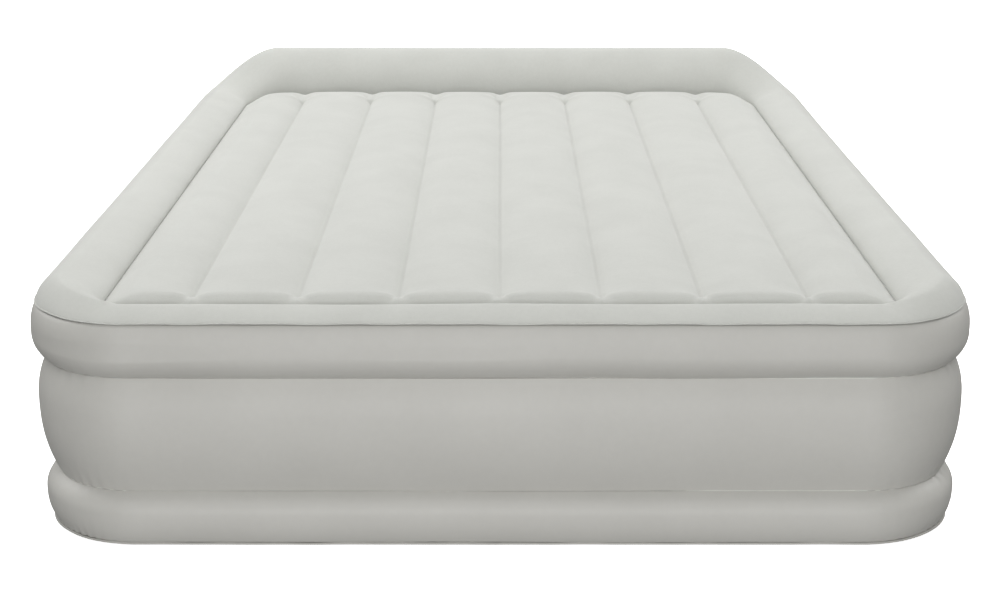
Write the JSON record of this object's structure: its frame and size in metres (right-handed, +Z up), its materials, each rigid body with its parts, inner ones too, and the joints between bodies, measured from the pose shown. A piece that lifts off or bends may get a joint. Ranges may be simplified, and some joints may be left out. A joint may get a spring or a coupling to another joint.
{
  "type": "air mattress",
  "caption": "Raised double-height air mattress with lengthwise flocked channels, a built-in head bolster, three bulging side bands and a built-in mains pump.",
  "frame": {"origin": "middle of the plan, on the floor under the mattress", "axes": "+Z up, +Y along the mattress from the foot end to the head end with the bolster and pump, +X to the right seen from the foot"},
  "size_m": [1.52, 2.03, 0.5],
  "materials": {
    "flocked_top": "short velvety flock, light sage grey",
    "side_film": "satin vinyl film, warm grey",
    "bottom_film": "satin vinyl film, darker grey",
    "inner_film": "clear-ish vinyl film",
    "collar_vinyl": "moulded soft vinyl",
    "pump_casing": "fine moulded texture",
    "inner_plastic": "plain moulded",
    "control_plastic": "smooth moulded",
    "black_rubber": "matt",
    "steel": "zinc plated",
    "core_steel": "laminated electrical steel",
    "copper": "enamelled copper",
    "bronze": "sintered bronze",
    "carbon": "pressed carbon"
  },
  "bodies": {
    "mattress": {"base_beam_1": "inner_film", "base_beam_2": "inner_film", "base_beam_3": "inner_film", "base_beam_4": "inner_film", "base_beam_5": "inner_film", "base_side_band": "side_film", "bottom_sheet": "bottom_film", "carbon_brushes": "carbon", "cord_compartment": "inner_plastic", "cord_gland": "black_rubber", "diverter_housing": "inner_plastic", "door_hinge_pin": "steel", "end_bracket": "steel", "fan_back_plate": "inner_plastic", "fan_housing": "inner_plastic", "field_coils": "copper", "field_stack": "core_steel", "flocked_border": "flocked_top", "front_bush": "bronze", "head_bolster": "flocked_top", "lower_diaphragm": "inner_film", "motor_screws": "steel", "plate_screws": "steel", "pump_collar": "collar_vinyl", "pump_face_plate": "pump_casing", "pump_panel": "side_film", "pump_tub": "inner_plastic", "rear_bush": "bronze", "sleep_beam_1": "inner_film", "sleep_beam_2": "inner_film", "sleep_beam_3": "inner_film", "sleep_beam_4": "inner_film", "sleep_beam_5": "inner_film", "sleep_beam_6": "inner_film", "sleep_beam_7": "inner_film", "sleep_deck": "flocked_top", "switch_housing": "inner_plastic", "tub_gasket": "black_rubber", "upper_diaphragm": "inner_film", "upper_side_band": "side_film", "valve_guide": "inner_plastic", "valve_spring": "steel", "waist_beam_1": "inner_film", "waist_beam_2": "inner_film", "waist_beam_3": "inner_film", "waist_beam_4": "inner_film", "waist_beam_5": "inner_film", "waist_side_band": "side_film"},
    "cord_door_body": {"cord_door": "pump_casing"},
    "dial_body": {"flow_dial": "control_plastic", "dial_spindle": "control_plastic", "diverter_drum": "inner_plastic"},
    "rocker_body": {"rocker_button": "control_plastic"},
    "rotor_body": {"rotor_shaft": "steel", "rotor_core": "core_steel", "commutator": "copper", "impeller": "inner_plastic", "impeller_nut": "steel"},
    "valve_body": {"valve_poppet": "inner_plastic", "stem_clip": "inner_plastic"}
  },
  "joints": [
    {"name": "cord_door_swing", "type": "hinge", "parent": "mattress", "child": "cord_door_body", "pos_m": [-0.475, 1.0025, 0.1467], "axis": [-1, 0, 0], "range_deg": [0, 95]},
    {"name": "dial_turn", "type": "hinge", "parent": "mattress", "child": "dial_body", "pos_m": [-0.388, 1, 0.206], "axis": [0, 1, 0], "range_deg": [-90, 90]},
    {"name": "rocker_tilt", "type": "hinge", "parent": "mattress", "child": "rocker_body", "pos_m": [-0.388, 1.0025, 0.152], "axis": [-1, 0, 0], "range_deg": [0, 16]},
    {"name": "rotor_spin", "type": "hinge", "parent": "mattress", "child": "rotor_body", "pos_m": [-0.388, 0.94, 0.206], "axis": [0, 1, 0], "continuous": true},
    {"name": "check_valve_lift", "type": "slide", "parent": "mattress", "child": "valve_body", "axis": [0, -1, 0], "range_m": [0, 0.007], "stiffness_N_per_m": 60, "springref_m": -0.004, "deforming": ["valve_spring"]}
  ]
}
